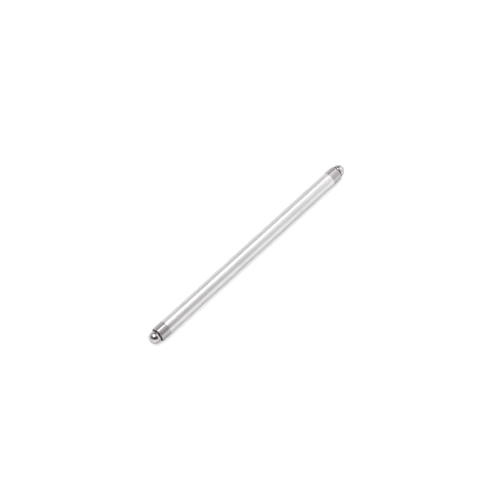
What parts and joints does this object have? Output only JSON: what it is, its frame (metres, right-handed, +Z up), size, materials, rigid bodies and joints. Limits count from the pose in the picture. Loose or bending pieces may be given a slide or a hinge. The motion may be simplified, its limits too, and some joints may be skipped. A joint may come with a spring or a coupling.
{
  "type": "engine pushrod",
  "caption": "Straight engine pushrod: a hollow aluminium tube with a turned steel ball end pressed into each mouth, passing cam lift from the tappet to the rocker.",
  "frame": {"origin": "middle of the rod, on its axis", "axes": "+X along the rod towards the rocker's ball, +Z up with the rod lying on its side"},
  "size_m": [0.1412, 0.0078, 0.0078],
  "materials": {
    "bright_aluminium": "bright satin tube with fine lines around it",
    "hardened_steel": "ground collar, dark undercut, polished ball"
  },
  "bodies": {
    "root": {"tube": "bright_aluminium", "tappet_ball_end": "hardened_steel", "rocker_ball_end": "hardened_steel"}
  },
  "joints": []
}
